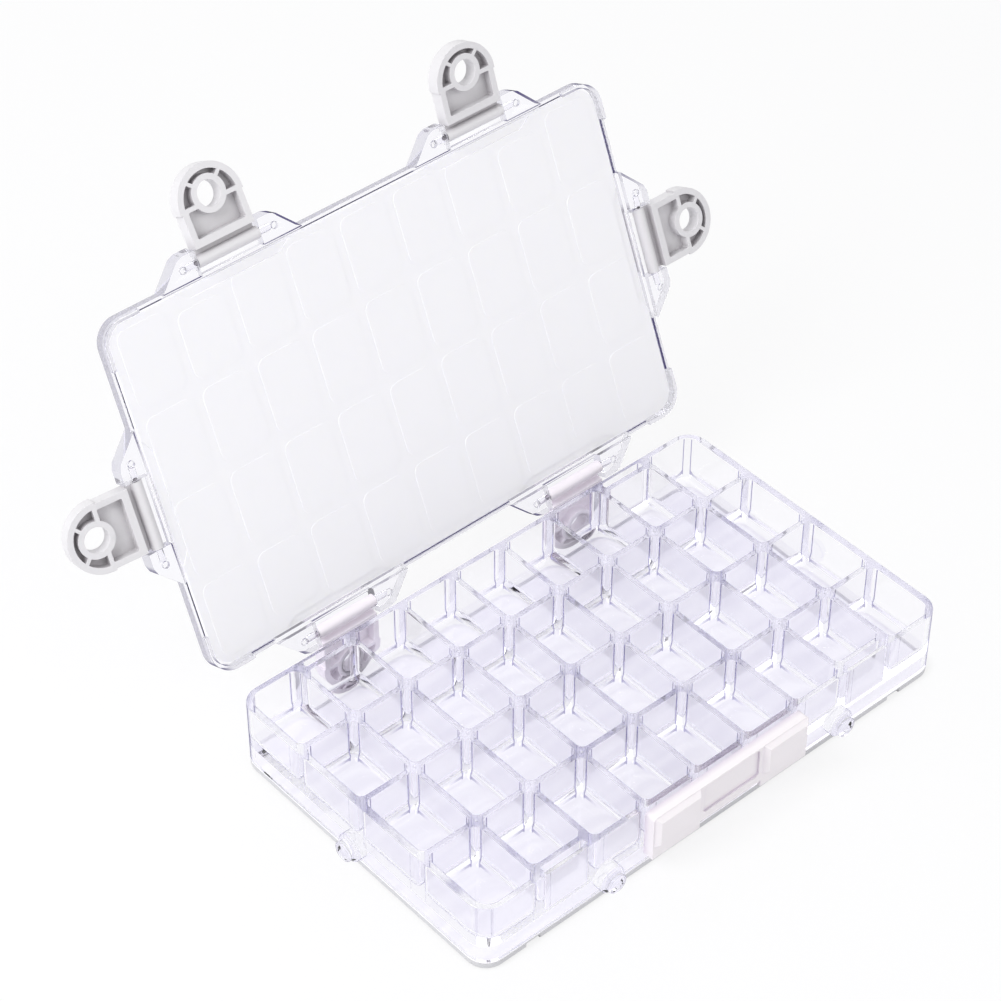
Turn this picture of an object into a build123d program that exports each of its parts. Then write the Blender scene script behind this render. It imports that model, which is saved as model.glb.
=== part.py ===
from build123d import *
import os

os.makedirs("parts", exist_ok=True)

# Millimetres. Origin at the centre of the tray's underside, +Z up, +X along the long side,
# the front (with the grip) faces -Y and the lid is hinged along the back.

# Wells
COLUMNS = 9
ROWS = 4
PITCH_X = 23.3
PITCH_Y = 31.5
DIVIDER = 2.0

# Tray moulding
END_WALL = 2.75
LONG_WALL = 2.0
TRAY_CORNER_R = 8.0
WELL_CORNER_R = 5.5
BASE_TOP = 3.2
FLOOR_UNDERSIDE = 10.0
FLOOR_THICKNESS = 1.6
RIM = 30.0
SKIRT_WALL = 1.8
FLOOR_TOP = FLOOR_UNDERSIDE + FLOOR_THICKNESS
WELLS_LENGTH = COLUMNS * PITCH_X - DIVIDER
WELLS_DEPTH = ROWS * PITCH_Y - DIVIDER
WELLS_HALF_Y = WELLS_DEPTH / 2
TRAY_LENGTH = WELLS_LENGTH + 2 * END_WALL
TRAY_DEPTH = WELLS_DEPTH + 2 * LONG_WALL
TRAY_HALF_X = TRAY_LENGTH / 2
TRAY_HALF_Y = TRAY_DEPTH / 2
CROSS_XS = [(i - (COLUMNS - 2) / 2) * PITCH_X for i in range(COLUMNS - 1)]
LONG_YS = [(j - (ROWS - 2) / 2) * PITCH_Y for j in range(ROWS - 1)]

# Narrow slots in the rim beside the front and back latches
SLOT_COLUMNS = (1, COLUMNS - 2)
SLOT_SKIN = 1.2
SLOT_WIDTH = 2.6
SLOT_END_WALL = 1.2
SLOT_INNER_WALL = 1.8
SLOT_XS = [(c - (COLUMNS - 1) / 2) * PITCH_X for c in SLOT_COLUMNS]
SLOT_LENGTH = PITCH_X - DIVIDER - 2 * SLOT_END_WALL
SLOT_OUTER_Y = TRAY_HALF_Y - SLOT_SKIN
SLOT_INNER_Y = SLOT_OUTER_Y - SLOT_WIDTH
SLOT_CELL_Y = SLOT_INNER_Y - SLOT_INNER_WALL

# Sunk squares where the dividers cross
DIMPLE = 1.1
DIMPLE_DEPTH = 0.6

# Base plate
NOTCH_X = 85.0
NOTCH_LENGTH = 6.0
NOTCH_HEIGHT = 2.0
NOTCH_REACH = 3.0
BASE_CHAMFER = 0.6

# Grip block on the front wall
GRIP_LENGTH = 72.0
GRIP_BOTTOM = 10.5
GRIP_BELOW_RIM = 2.7
GRIP_TOP = RIM - GRIP_BELOW_RIM
GRIP_PLATE = 4.2
GRIP_FOOT_DROP = 2.8
GRIP_PAD_RISE = 1.8
GRIP_PAD_X = 25.15
GRIP_PAD_LENGTH = 20.7
GRIP_PAD_HEIGHT = 13.5
GRIP_PAD_MARGIN = 0.3
GRIP_PAD_Z = GRIP_TOP - GRIP_PAD_MARGIN - GRIP_PAD_HEIGHT / 2
GRIP_PAD_BEVEL = 1.5
GRIP_PANEL_LENGTH = 26.0
GRIP_PANEL_HEIGHT = 12.5
GRIP_PANEL_DEPTH = 0.8
GRIP_CORNER_R = 1.5

# Silicone liner in the lid
LINER_ABOVE_RIM = 0.3
LINER_THICKNESS = 1.7
LINER_EDGE_GAP = 0.8
PAD_INSET = 0.8
PAD_RISE = 1.0
PAD_CORNER_R = 3.6
TAB_STEP_REACH = 3.3
TAB_STEP_HALF = 24.0
TAB_STEP_SLOPE = 5.5
TAB_STEP_DEPTH = 0.5

# Lid
LID_CLEARANCE = 0.6
LID_SKIRT = 1.4
LID_CORNER_R = 9.0
LID_PANEL = 2.2
SKIRT_ABOVE_RIM = 0.2
CORNER_SKIRT_BELOW_RIM = 1.6
CORNER_SKIRT_ARM = 16.0
LID_LENGTH = TRAY_LENGTH + 2 * (LID_CLEARANCE + LID_SKIRT)
LID_DEPTH = TRAY_DEPTH + 2 * (LID_CLEARANCE + LID_SKIRT)
LINER_UNDERSIDE = RIM + LINER_ABOVE_RIM
LID_PANEL_UNDERSIDE = LINER_UNDERSIDE + LINER_THICKNESS
LID_SKIRT_UNDERSIDE = RIM + SKIRT_ABOVE_RIM
CORNER_SKIRT_UNDERSIDE = RIM - CORNER_SKIRT_BELOW_RIM
LINER_LENGTH = LID_LENGTH - 2 * (LID_SKIRT + LINER_EDGE_GAP)
LINER_DEPTH = LID_DEPTH - 2 * (LID_SKIRT + LINER_EDGE_GAP)
LINER_CORNER_R = LID_CORNER_R - LID_SKIRT
LID_HALF_X = LID_LENGTH / 2
LID_HALF_Y = LID_DEPTH / 2
LID_OPEN_DEG = 113.0

# Hinge line of every tab, measured out from the lid's edge
TAB_OUT = 4.6
HINGE_ABOVE_RIM = 0.3
HINGE_Z = RIM + HINGE_ABOVE_RIM
HINGE_Y = LID_HALF_Y + TAB_OUT
TAB_X = 53.8

# Tabs on the lid's edge that carry the latches
TAB_BASE_HALF = 29.0
EAR_SLOPE_HALF = 26.4
EAR_SHOULDER_HALF = 20.6
EAR_TIP_HALF = 18.0
EAR_INNER = 12.9
EAR_REACH = 9.4
EAR_SHOULDER = 8.4
EAR_SLOPE = 2.6
EAR_DROP = 2.0
BRIDGE_START = 1.6
BRIDGE_ABOVE_AXIS = 2.5
BRIDGE_PAST_AXIS = 2.0
BORE_R = 1.25
BORE_END = 17.5
EAR_MARK_X = 18.9
EAR_MARK_R = 1.3
EAR_MARK_DEPTH = 0.4

# Latches, measured from the trunnion axis towards the tip
LATCH_HALF_WIDTH = 12.1
LATCH_HALF_THICKNESS = 2.6
BARREL_HALF = 12.7
BARREL_R = 2.25
TRUNNION_R = 1.2
TRUNNION_END = 17.4
NECK_BACK = -1.2
NECK_FRONT = -0.1
SLAB_START = 3.32
LIP_START = 4.2
POCKET_START = 6.9
POCKET_DEPTH = 3.4
POCKET_CORNER_R = 0.6
LATCH_FRAME = 2.3
PEG_Z = 10.9
HOLE_AT = HINGE_Z - PEG_Z
HOLE_R = 4.5
BOSS_R = 6.6
CROSS_RIB = 1.6
CROSS_RIB_SETBACK = 1.6
CROSS_RIB_END = HOLE_AT - CROSS_RIB_SETBACK
CROSS_RIB_START = CROSS_RIB_END - CROSS_RIB
ROUND_SETBACK = 2.3
ROUND_AT = HOLE_AT - ROUND_SETBACK
TIP_ABOVE_TABLE = 0.5
ROUND_R = HINGE_Z - TIP_ABOVE_TABLE - ROUND_AT
RIB_WIDTH = 1.3
RIB_DEG = 48.0

# Latch pegs on the tray walls
PEG_COLLAR_R = 5.3
PEG_NECK_R = 3.6
PEG_HEAD_R = 3.9
PEG_HEAD_LENGTH = 1.2
PEG_CHAMFER = 0.4
PEG_FACE_CLEARANCE = 0.1

# Rest angles of the latches from the lid's plane, towards the tray
LATCH_FRONT_LEFT_DEG = -8.0
LATCH_FRONT_RIGHT_DEG = 4.0
LATCH_LEFT_DEG = -9.0
LATCH_RIGHT_DEG = 1.0


# Outer wall of the tray, with the skirt below the wells and the four rim slots
with BuildPart() as tray_shell:
    with BuildSketch(Plane.XY.offset(BASE_TOP)):
        RectangleRounded(TRAY_LENGTH, TRAY_DEPTH, TRAY_CORNER_R)
    extrude(amount=RIM - BASE_TOP)
    with BuildSketch(Plane.XY.offset(BASE_TOP)):
        RectangleRounded(
            TRAY_LENGTH - 2 * SKIRT_WALL, TRAY_DEPTH - 2 * SKIRT_WALL, TRAY_CORNER_R - SKIRT_WALL
        )
    extrude(amount=FLOOR_UNDERSIDE - BASE_TOP, mode=Mode.SUBTRACT)
    with BuildSketch(Plane.XY.offset(FLOOR_UNDERSIDE)):
        RectangleRounded(WELLS_LENGTH, WELLS_DEPTH, WELL_CORNER_R)
    extrude(amount=RIM - FLOOR_UNDERSIDE, mode=Mode.SUBTRACT)
    for side in (-1, 1):
        for slot_x in SLOT_XS:
            with BuildSketch(Plane.XY.offset(FLOOR_TOP)):
                with Locations((slot_x, side * (WELLS_HALF_Y + SLOT_CELL_Y) / 2)):
                    Rectangle(PITCH_X - DIVIDER, WELLS_HALF_Y - SLOT_CELL_Y)
            extrude(amount=RIM - FLOOR_TOP)
            with BuildSketch(Plane.XY.offset(FLOOR_TOP)):
                with Locations((slot_x, side * (SLOT_OUTER_Y + SLOT_INNER_Y) / 2)):
                    Rectangle(SLOT_LENGTH, SLOT_WIDTH)
            extrude(amount=RIM - FLOOR_TOP, mode=Mode.SUBTRACT)
tray_shell.part.label = "tray_shell"
export_step(tray_shell.part, "parts/tray_shell.step")


# Floor plate under all the wells
with BuildPart() as well_floor:
    with BuildSketch(Plane.XY.offset(FLOOR_UNDERSIDE)):
        RectangleRounded(WELLS_LENGTH, WELLS_DEPTH, WELL_CORNER_R)
    extrude(amount=FLOOR_THICKNESS)
well_floor.part.label = "well_floor"
export_step(well_floor.part, "parts/well_floor.step")


# Long dividers, halved over the cross dividers at mid height
HALVING_Z = (FLOOR_TOP + RIM) / 2
for index, divider_y in enumerate(LONG_YS, start=1):
    with BuildPart() as long_divider:
        with BuildSketch(Plane.XY.offset(FLOOR_TOP)):
            with Locations((0, divider_y)):
                Rectangle(WELLS_LENGTH, DIVIDER)
        extrude(amount=RIM - FLOOR_TOP)
        with BuildSketch(Plane.XY.offset(FLOOR_TOP)):
            with Locations([(cross_x, divider_y) for cross_x in CROSS_XS]):
                Rectangle(DIVIDER, DIVIDER)
        extrude(amount=HALVING_Z - FLOOR_TOP, mode=Mode.SUBTRACT)
        with BuildSketch(Plane.XY.offset(RIM - DIMPLE_DEPTH)):
            with Locations([(cross_x, divider_y) for cross_x in CROSS_XS]):
                Rectangle(DIMPLE, DIMPLE)
        extrude(amount=DIMPLE_DEPTH, mode=Mode.SUBTRACT)
    long_divider.part.label = f"long_divider_{index}"
    export_step(long_divider.part, f"parts/long_divider_{index}.step")


# Cross dividers, numbered from the left
for index, divider_x in enumerate(CROSS_XS, start=1):
    with BuildPart() as cross_divider:
        with BuildSketch(Plane.XY.offset(FLOOR_TOP)):
            with Locations((divider_x, 0)):
                Rectangle(DIVIDER, WELLS_DEPTH)
        extrude(amount=RIM - FLOOR_TOP)
        with BuildSketch(Plane.XY.offset(HALVING_Z)):
            with Locations([(divider_x, long_y) for long_y in LONG_YS]):
                Rectangle(DIVIDER, DIVIDER)
        extrude(amount=RIM - HALVING_Z, mode=Mode.SUBTRACT)
    cross_divider.part.label = f"cross_divider_{index}"
    export_step(cross_divider.part, f"parts/cross_divider_{index}.step")


# Base plate under the skirt, with the notches seen along the front and back
with BuildPart() as base_plate:
    with BuildSketch():
        RectangleRounded(TRAY_LENGTH, TRAY_DEPTH, TRAY_CORNER_R)
    extrude(amount=BASE_TOP)
    chamfer(base_plate.faces().sort_by(Axis.Z)[0].edges(), BASE_CHAMFER)
    with BuildSketch():
        for side in (-1, 1):
            with Locations((-NOTCH_X, side * TRAY_HALF_Y), (NOTCH_X, side * TRAY_HALF_Y)):
                Rectangle(NOTCH_LENGTH, 2 * NOTCH_REACH)
    extrude(amount=NOTCH_HEIGHT, mode=Mode.SUBTRACT)
base_plate.part.label = "base_plate"
export_step(base_plate.part, "parts/base_plate.step")


# Frosted grip block between the front latches
FRONT_WALL = Plane(origin=(0, -TRAY_HALF_Y, 0), x_dir=(1, 0, 0), z_dir=(0, -1, 0))
with BuildPart() as front_grip:
    with BuildSketch(FRONT_WALL):
        with Locations((0, (GRIP_BOTTOM + GRIP_TOP) / 2)):
            RectangleRounded(GRIP_LENGTH, GRIP_TOP - GRIP_BOTTOM, GRIP_CORNER_R)
        with Locations((-GRIP_PAD_X, GRIP_BOTTOM), (GRIP_PAD_X, GRIP_BOTTOM)):
            Rectangle(GRIP_LENGTH - 2 * GRIP_PAD_X, 2 * GRIP_FOOT_DROP)
    extrude(amount=GRIP_PLATE)
    with BuildSketch(FRONT_WALL.offset(GRIP_PLATE - GRIP_PANEL_DEPTH)):
        with Locations((0, GRIP_PAD_Z)):
            RectangleRounded(GRIP_PANEL_LENGTH, GRIP_PANEL_HEIGHT, GRIP_CORNER_R)
    extrude(amount=GRIP_PANEL_DEPTH, mode=Mode.SUBTRACT)
    for pad_x in (-GRIP_PAD_X, GRIP_PAD_X):
        with BuildSketch(FRONT_WALL.offset(GRIP_PLATE)):
            with Locations((pad_x, GRIP_PAD_Z)):
                Rectangle(GRIP_PAD_LENGTH, GRIP_PAD_HEIGHT)
        with BuildSketch(FRONT_WALL.offset(GRIP_PLATE + GRIP_PAD_RISE)):
            with Locations((pad_x, GRIP_PAD_Z)):
                Rectangle(GRIP_PAD_LENGTH - 2 * GRIP_PAD_BEVEL, GRIP_PAD_HEIGHT - 2 * GRIP_PAD_BEVEL)
        loft()
front_grip.part.label = "front_grip"
export_step(front_grip.part, "parts/front_grip.step")


# Stepped pegs that the latches close over
PEG_REACH = LID_CLEARANCE + LID_SKIRT + TAB_OUT
PEG_COLLAR = PEG_REACH - LATCH_HALF_THICKNESS - PEG_FACE_CLEARANCE
BACK_WALL = Plane(origin=(0, TRAY_HALF_Y, 0), x_dir=(-1, 0, 0), z_dir=(0, 1, 0))
LEFT_WALL = Plane(origin=(-TRAY_HALF_X, 0, 0), x_dir=(0, -1, 0), z_dir=(-1, 0, 0))
RIGHT_WALL = Plane(origin=(TRAY_HALF_X, 0, 0), x_dir=(0, 1, 0), z_dir=(1, 0, 0))
PEGS = [
    ("peg_front_left", FRONT_WALL, -TAB_X),
    ("peg_front_right", FRONT_WALL, TAB_X),
    ("peg_back_left", BACK_WALL, TAB_X),
    ("peg_back_right", BACK_WALL, -TAB_X),
    ("peg_left", LEFT_WALL, 0),
    ("peg_right", RIGHT_WALL, 0),
]
for peg_name, wall, along in PEGS:
    foot = wall.from_local_coords((along, PEG_Z, 0))
    with BuildPart() as peg:
        with BuildSketch(Plane(origin=foot, x_dir=wall.z_dir, z_dir=-wall.x_dir)):
            Polygon(
                (0, 0),
                (PEG_REACH, 0),
                (PEG_REACH, PEG_HEAD_R - PEG_CHAMFER),
                (PEG_REACH - PEG_CHAMFER, PEG_HEAD_R),
                (PEG_REACH - PEG_HEAD_LENGTH, PEG_HEAD_R),
                (PEG_REACH - PEG_HEAD_LENGTH, PEG_NECK_R),
                (PEG_COLLAR, PEG_NECK_R),
                (PEG_COLLAR, PEG_COLLAR_R),
                (0, PEG_COLLAR_R),
                align=None,
            )
        revolve(axis=Axis(foot, wall.z_dir))
    peg.part.label = peg_name
    export_step(peg.part, f"parts/{peg_name}.step")


# Lid frame: local x is X, local y is the closed lid's Y from the hinge line, local z is
# the closed lid's height from it. The lid rests fully open.
LID_FRAME = Plane(origin=(0, HINGE_Y, HINGE_Z)).rotated((-LID_OPEN_DEG, 0, 0))
LID_CENTRE = (0, -HINGE_Y)
FRONT_LEFT_TAB = ((-TAB_X, -HINGE_Y - LID_HALF_Y), 180)
FRONT_RIGHT_TAB = ((TAB_X, -HINGE_Y - LID_HALF_Y), 180)
BACK_LEFT_TAB = ((-TAB_X, -HINGE_Y + LID_HALF_Y), 0)
BACK_RIGHT_TAB = ((TAB_X, -HINGE_Y + LID_HALF_Y), 0)
LEFT_TAB = ((-LID_HALF_X, -HINGE_Y), 90)
RIGHT_TAB = ((LID_HALF_X, -HINGE_Y), -90)
TABS = [
    FRONT_LEFT_TAB,
    FRONT_RIGHT_TAB,
    BACK_LEFT_TAB,
    BACK_RIGHT_TAB,
    LEFT_TAB,
    RIGHT_TAB,
]
TAB_PROFILE = [
    (-TAB_BASE_HALF, -LID_SKIRT),
    (-TAB_BASE_HALF, 0),
    (-EAR_SLOPE_HALF, EAR_SLOPE),
    (-EAR_SHOULDER_HALF, EAR_SHOULDER),
    (-EAR_TIP_HALF, EAR_REACH),
    (EAR_TIP_HALF, EAR_REACH),
    (EAR_SHOULDER_HALF, EAR_SHOULDER),
    (EAR_SLOPE_HALF, EAR_SLOPE),
    (TAB_BASE_HALF, 0),
    (TAB_BASE_HALF, -LID_SKIRT),
]


def lid_level(height):
    return LID_FRAME.offset(height - HINGE_Z)


# Frame on a tab's trunnion axis: local x along the axis, local y out from the lid
def tab_axis(tab):
    (tab_x, tab_y), turn = tab
    return LID_FRAME * Location((tab_x, tab_y, 0), (0, 0, turn)) * Location((0, TAB_OUT, 0))


with BuildPart() as lid:
    with BuildSketch(lid_level(LID_PANEL_UNDERSIDE)):
        with Locations(LID_CENTRE):
            RectangleRounded(LID_LENGTH, LID_DEPTH, LID_CORNER_R)
        for place, turn in TABS:
            with Locations(Location((*place, 0), (0, 0, turn))):
                Polygon(*TAB_PROFILE, align=None)
    extrude(amount=LID_PANEL)
    with BuildSketch(lid_level(LID_SKIRT_UNDERSIDE)):
        with Locations(LID_CENTRE):
            RectangleRounded(LID_LENGTH, LID_DEPTH, LID_CORNER_R)
            RectangleRounded(
                LID_LENGTH - 2 * LID_SKIRT,
                LID_DEPTH - 2 * LID_SKIRT,
                LID_CORNER_R - LID_SKIRT,
                mode=Mode.SUBTRACT,
            )
    extrude(amount=LID_PANEL_UNDERSIDE - LID_SKIRT_UNDERSIDE)
    with BuildSketch(lid_level(CORNER_SKIRT_UNDERSIDE)):
        with Locations(LID_CENTRE):
            RectangleRounded(LID_LENGTH, LID_DEPTH, LID_CORNER_R)
            RectangleRounded(
                LID_LENGTH - 2 * LID_SKIRT,
                LID_DEPTH - 2 * LID_SKIRT,
                LID_CORNER_R - LID_SKIRT,
                mode=Mode.SUBTRACT,
            )
            Rectangle(LID_LENGTH - 2 * CORNER_SKIRT_ARM, LID_DEPTH, mode=Mode.SUBTRACT)
            Rectangle(LID_LENGTH, LID_DEPTH - 2 * CORNER_SKIRT_ARM, mode=Mode.SUBTRACT)
    extrude(amount=LID_SKIRT_UNDERSIDE - CORNER_SKIRT_UNDERSIDE)
    for place, turn in TABS:
        with BuildSketch(lid_level(HINGE_Z - EAR_DROP)):
            with Locations(Location((*place, 0), (0, 0, turn))):
                Polygon(
                    (EAR_INNER, 0),
                    (TAB_BASE_HALF, 0),
                    (EAR_SLOPE_HALF, EAR_SLOPE),
                    (EAR_SHOULDER_HALF, EAR_SHOULDER),
                    (EAR_TIP_HALF, EAR_REACH),
                    (EAR_INNER, EAR_REACH),
                    align=None,
                )
                Polygon(
                    (-EAR_INNER, 0),
                    (-EAR_INNER, EAR_REACH),
                    (-EAR_TIP_HALF, EAR_REACH),
                    (-EAR_SHOULDER_HALF, EAR_SHOULDER),
                    (-EAR_SLOPE_HALF, EAR_SLOPE),
                    (-TAB_BASE_HALF, 0),
                    align=None,
                )
        extrude(amount=LID_PANEL_UNDERSIDE - HINGE_Z + EAR_DROP)
        with BuildSketch(lid_level(LID_PANEL_UNDERSIDE)):
            with Locations(Location((*place, 0), (0, 0, turn))):
                Polygon(
                    (-EAR_INNER, BRIDGE_START),
                    (EAR_INNER, BRIDGE_START),
                    (EAR_INNER, EAR_REACH + 1),
                    (-EAR_INNER, EAR_REACH + 1),
                    align=None,
                )
        extrude(amount=HINGE_Z + BRIDGE_ABOVE_AXIS - LID_PANEL_UNDERSIDE, mode=Mode.SUBTRACT)
        with BuildSketch(lid_level(LID_PANEL_UNDERSIDE)):
            with Locations(Location((*place, 0), (0, 0, turn))):
                Polygon(
                    (-EAR_INNER, TAB_OUT + BRIDGE_PAST_AXIS),
                    (EAR_INNER, TAB_OUT + BRIDGE_PAST_AXIS),
                    (EAR_INNER, EAR_REACH + 1),
                    (-EAR_INNER, EAR_REACH + 1),
                    align=None,
                )
        extrude(amount=LID_PANEL, mode=Mode.SUBTRACT)
        with BuildSketch(lid_level(HINGE_Z - EAR_DROP)):
            with Locations(Location((*place, 0), (0, 0, turn))):
                with Locations((-EAR_MARK_X, TAB_OUT), (EAR_MARK_X, TAB_OUT)):
                    Circle(EAR_MARK_R)
        extrude(amount=EAR_MARK_DEPTH, mode=Mode.SUBTRACT)
        bore_plane = Plane(tab_axis((place, turn)) * Location((0, 0, 0), (0, 90, 0)))
        with BuildSketch(bore_plane.offset(-BORE_END)):
            Circle(BORE_R)
        extrude(amount=2 * BORE_END, mode=Mode.SUBTRACT)
lid.part.label = "lid"
export_step(lid.part, "parts/lid.step")


# Silicone liner under the lid's panel, with one soft pad for each well
with BuildPart() as seal_liner:
    with BuildSketch(lid_level(LINER_UNDERSIDE)):
        with Locations(LID_CENTRE):
            RectangleRounded(LINER_LENGTH, LINER_DEPTH, LINER_CORNER_R)
    extrude(amount=LID_PANEL_UNDERSIDE - LINER_UNDERSIDE)
    with BuildSketch(lid_level(LINER_UNDERSIDE - PAD_RISE)):
        for column in range(COLUMNS):
            for row in range(ROWS):
                pad_x = (column - (COLUMNS - 1) / 2) * PITCH_X
                near_y = (row - ROWS / 2) * PITCH_Y + DIVIDER / 2
                far_y = near_y + PITCH_Y - DIVIDER
                if column in SLOT_COLUMNS and row == 0:
                    near_y = -SLOT_CELL_Y
                if column in SLOT_COLUMNS and row == ROWS - 1:
                    far_y = SLOT_CELL_Y
                with Locations((pad_x, (near_y + far_y) / 2 - HINGE_Y)):
                    RectangleRounded(
                        PITCH_X - DIVIDER - 2 * PAD_INSET, far_y - near_y - 2 * PAD_INSET, PAD_CORNER_R
                    )
    extrude(amount=PAD_RISE)
    liner_edge = -LID_SKIRT - LINER_EDGE_GAP
    for place, turn in TABS:
        with BuildSketch(lid_level(LINER_UNDERSIDE - PAD_RISE)):
            with Locations(Location((*place, 0), (0, 0, turn))):
                Polygon(
                    (-TAB_STEP_HALF, 0),
                    (-TAB_STEP_HALF, liner_edge),
                    (-TAB_STEP_HALF + TAB_STEP_SLOPE, liner_edge - TAB_STEP_REACH),
                    (TAB_STEP_HALF - TAB_STEP_SLOPE, liner_edge - TAB_STEP_REACH),
                    (TAB_STEP_HALF, liner_edge),
                    (TAB_STEP_HALF, 0),
                    align=None,
                )
        extrude(amount=PAD_RISE + TAB_STEP_DEPTH, mode=Mode.SUBTRACT)
seal_liner.part.label = "seal_liner"
export_step(seal_liner.part, "parts/seal_liner.step")


# Latches, all alike. The two at the back hang over the back pegs and act as the hinges.
LATCHES = [
    ("latch_front_left", FRONT_LEFT_TAB, LATCH_FRONT_LEFT_DEG),
    ("latch_front_right", FRONT_RIGHT_TAB, LATCH_FRONT_RIGHT_DEG),
    ("latch_left", LEFT_TAB, LATCH_LEFT_DEG),
    ("latch_right", RIGHT_TAB, LATCH_RIGHT_DEG),
    ("hinge_latch_left", BACK_LEFT_TAB, 90 - LID_OPEN_DEG),
    ("hinge_latch_right", BACK_RIGHT_TAB, 90 - LID_OPEN_DEG),
]
for latch_name, tab, fold_deg in LATCHES:
    latch_location = tab_axis(tab) * Location((0, 0, 0), (0, 180, 0)) * Location((0, 0, 0), (fold_deg, 0, 0))
    face = Plane(latch_location)
    across = Plane(latch_location * Location((0, 0, 0), (0, 90, 0)))
    with BuildPart() as latch:
        with BuildSketch(across.offset(-TRUNNION_END)):
            Circle(TRUNNION_R)
        extrude(amount=2 * TRUNNION_END)
        with BuildSketch(across.offset(-BARREL_HALF)):
            Circle(BARREL_R)
        extrude(amount=2 * BARREL_HALF)
        with BuildSketch(face.offset(NECK_BACK)):
            Polygon(
                (-LATCH_HALF_WIDTH, 0),
                (LATCH_HALF_WIDTH, 0),
                (LATCH_HALF_WIDTH, POCKET_START),
                (-LATCH_HALF_WIDTH, POCKET_START),
                align=None,
            )
        extrude(amount=NECK_FRONT - NECK_BACK)
        with BuildSketch(face.offset(-LATCH_HALF_THICKNESS)):
            with Locations((0, ROUND_AT)):
                Circle(ROUND_R)
            Polygon(
                (-2 * ROUND_R, 0),
                (2 * ROUND_R, 0),
                (2 * ROUND_R, CROSS_RIB_START),
                (-2 * ROUND_R, CROSS_RIB_START),
                align=None,
                mode=Mode.SUBTRACT,
            )
            Polygon(
                (-LATCH_HALF_WIDTH, SLAB_START),
                (LATCH_HALF_WIDTH, SLAB_START),
                (LATCH_HALF_WIDTH, ROUND_AT),
                (-LATCH_HALF_WIDTH, ROUND_AT),
                align=None,
            )
        extrude(amount=2 * LATCH_HALF_THICKNESS)
        with BuildSketch(face.offset(NECK_FRONT)):
            Polygon(
                (-LATCH_HALF_WIDTH, SLAB_START),
                (LATCH_HALF_WIDTH, SLAB_START),
                (LATCH_HALF_WIDTH, LIP_START),
                (-LATCH_HALF_WIDTH, LIP_START),
                align=None,
            )
        extrude(amount=LATCH_HALF_THICKNESS - NECK_FRONT, mode=Mode.SUBTRACT)
        with BuildSketch(face.offset(LATCH_HALF_THICKNESS - POCKET_DEPTH)):
            with Locations((0, (POCKET_START + CROSS_RIB_START) / 2)):
                RectangleRounded(
                    2 * (LATCH_HALF_WIDTH - LATCH_FRAME), CROSS_RIB_START - POCKET_START, POCKET_CORNER_R
                )
            with Locations((0, HOLE_AT)):
                Circle(BOSS_R, mode=Mode.SUBTRACT)
        extrude(amount=POCKET_DEPTH, mode=Mode.SUBTRACT)
        with BuildSketch(face.offset(LATCH_HALF_THICKNESS - POCKET_DEPTH)):
            with Locations((0, ROUND_AT)):
                Circle(ROUND_R - LATCH_FRAME)
            Polygon(
                (-ROUND_R, 0),
                (ROUND_R, 0),
                (ROUND_R, CROSS_RIB_END),
                (-ROUND_R, CROSS_RIB_END),
                align=None,
                mode=Mode.SUBTRACT,
            )
            with Locations((0, HOLE_AT)):
                Circle(BOSS_R, mode=Mode.SUBTRACT)
            for rib_deg in (90 - RIB_DEG, 90 + RIB_DEG):
                with Locations(Location((0, HOLE_AT, 0), (0, 0, rib_deg))):
                    with Locations((ROUND_R / 2, 0)):
                        Rectangle(ROUND_R, RIB_WIDTH, mode=Mode.SUBTRACT)
        extrude(amount=POCKET_DEPTH, mode=Mode.SUBTRACT)
        with BuildSketch(face.offset(-LATCH_HALF_THICKNESS)):
            with Locations((0, HOLE_AT)):
                Circle(HOLE_R)
        extrude(amount=2 * LATCH_HALF_THICKNESS, mode=Mode.SUBTRACT)
    latch.part.label = latch_name
    export_step(latch.part, f"parts/{latch_name}.step")
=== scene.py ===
from math import cos, pi, radians, sin

import bmesh
import bpy
from mathutils import Matrix, Vector


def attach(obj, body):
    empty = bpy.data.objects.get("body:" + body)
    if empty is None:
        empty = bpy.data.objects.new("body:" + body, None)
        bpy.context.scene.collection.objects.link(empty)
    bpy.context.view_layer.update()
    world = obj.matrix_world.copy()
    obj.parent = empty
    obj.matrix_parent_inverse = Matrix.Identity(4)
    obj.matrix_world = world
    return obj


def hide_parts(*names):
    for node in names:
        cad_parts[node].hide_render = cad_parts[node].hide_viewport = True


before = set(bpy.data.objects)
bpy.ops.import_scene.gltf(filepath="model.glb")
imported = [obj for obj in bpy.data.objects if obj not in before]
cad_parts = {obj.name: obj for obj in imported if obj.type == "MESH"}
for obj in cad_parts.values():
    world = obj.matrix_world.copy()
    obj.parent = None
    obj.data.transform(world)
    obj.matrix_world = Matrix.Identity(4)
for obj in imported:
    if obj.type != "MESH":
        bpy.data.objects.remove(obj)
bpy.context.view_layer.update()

MM = 0.001

# The tray's sizes, in millimetres, as in the solids
COLUMNS = 9
ROWS = 4
PITCH_X = 23.3
PITCH_Y = 31.5
DIVIDER = 2.0
INNER_HALF_X = (COLUMNS * PITCH_X - DIVIDER) / 2
INNER_HALF_Y = (ROWS * PITCH_Y - DIVIDER) / 2
TRAY_HALF_X = 106.6
TRAY_HALF_Y = 64.0
TRAY_CORNER_R = 8.0
BASE_TOP = 3.2
FLOOR_UNDERSIDE = 10.0
FLOOR_TOP = 11.6
RIM = 30.0
SKIRT_WALL = 1.8

# The narrow slots in the front and back walls, beside the latches
SLOT_COLUMNS = (1, 7)
SLOT_CELL_Y = 58.4
SLOT_INNER_Y = 60.2
SLOT_OUTER_Y = 62.8
SLOT_SPLIT_Y = (SLOT_CELL_Y + SLOT_INNER_Y) / 2
SLOT_LENGTH = 18.9
SLOT_CORNER_R = 0.8
SLOT_EDGE_ROUND = 0.2
SLOT_FOOT_R = 0.3

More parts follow.
